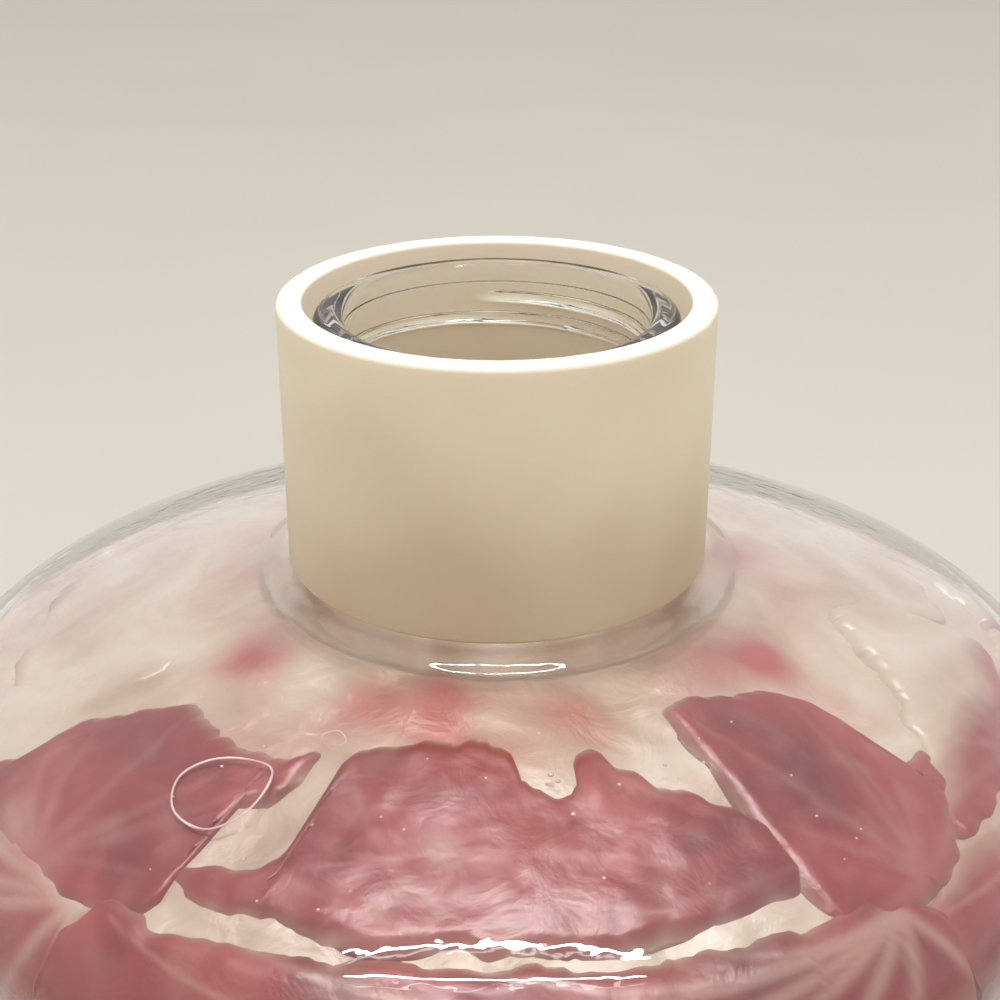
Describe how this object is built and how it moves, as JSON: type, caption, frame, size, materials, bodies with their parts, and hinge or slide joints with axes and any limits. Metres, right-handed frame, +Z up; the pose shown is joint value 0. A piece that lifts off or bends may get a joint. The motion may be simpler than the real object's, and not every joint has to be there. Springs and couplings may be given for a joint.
{
  "type": "water seal pickle jar",
  "caption": "Wide clear glass jar with a screw-on plastic collar round its neck that holds sealing water, packed with red pickled leaves.",
  "frame": {"origin": "centre of the base, on the plane that the jar stands on", "axes": "+Z up along the jar's axis; -Y towards the viewer of the picture, +X to the viewer's right"},
  "size_m": [0.32, 0.32, 0.381],
  "materials": {
    "jar_glass": "clear, slightly rippled",
    "collar_plastic": "satin, slightly translucent cream",
    "gasket_rubber": "satin",
    "red_leaf": "wet pickled leaf",
    "pale_heart": "wet pickled leaf"
  },
  "bodies": {
    "jar": {"glass_jar": "jar_glass", "packed_heart": "pale_heart", "top_leaf_1": "red_leaf", "top_leaf_2": "red_leaf", "top_leaf_3": "red_leaf", "top_leaf_4": "red_leaf", "top_leaf_5": "red_leaf", "top_leaf_6": "red_leaf", "top_leaf_7": "red_leaf", "top_leaf_8": "red_leaf", "rim_leaf_1": "red_leaf", "rim_leaf_2": "red_leaf", "rim_leaf_3": "red_leaf", "rim_leaf_4": "red_leaf", "rim_leaf_5": "red_leaf", "rim_leaf_6": "red_leaf", "upper_side_leaf_1": "red_leaf", "upper_side_leaf_2": "red_leaf", "upper_side_leaf_3": "red_leaf", "upper_side_leaf_4": "red_leaf", "upper_side_leaf_5": "red_leaf", "upper_side_leaf_6": "red_leaf", "lower_side_leaf_1": "red_leaf", "lower_side_leaf_2": "red_leaf", "lower_side_leaf_3": "red_leaf", "lower_side_leaf_4": "red_leaf", "lower_side_leaf_5": "red_leaf", "lower_side_leaf_6": "red_leaf"},
    "gasket": {"collar_gasket": "gasket_rubber"},
    "collar": {"water_seal_collar": "collar_plastic"}
  },
  "joints": [
    {"name": "collar_lift", "type": "slide", "parent": "jar", "child": "gasket", "axis": [0, 0, 1], "range_m": [0, 0.0072]},
    {"name": "collar_turn", "type": "hinge", "parent": "gasket", "child": "collar", "pos_m": [0, 0, 0.345], "axis": [0, 0, 1], "range_deg": [0, 430]}
  ],
  "couplings": [
    {"joint": "collar_lift", "follows": "collar_turn", "m_per_rad": 0.00095493}
  ]
}
